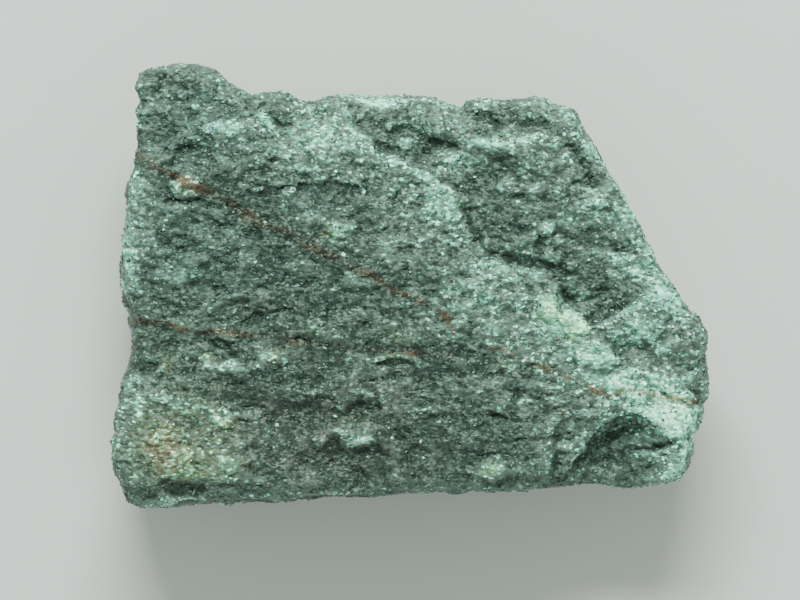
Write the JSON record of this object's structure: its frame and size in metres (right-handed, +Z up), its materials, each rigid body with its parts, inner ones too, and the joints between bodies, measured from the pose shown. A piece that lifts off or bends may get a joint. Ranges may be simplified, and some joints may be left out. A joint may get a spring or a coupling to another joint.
{
  "type": "raw aventurine specimen",
  "caption": "Hand-sized slab of raw green aventurine with a broken sugary face, a crest and lower terrace, a chipped corner and a flat resting place on its back.",
  "frame": {"origin": "on the ground, under the middle of the stone's box", "axes": "+Z up out of the pictured face, +Y towards the long broken top edge of the picture, +X towards its right end"},
  "size_m": [0.102, 0.0764, 0.0298],
  "materials": {
    "aventurine": "rough"
  },
  "bodies": {
    "root": {"aventurine": "aventurine"}
  },
  "joints": []
}
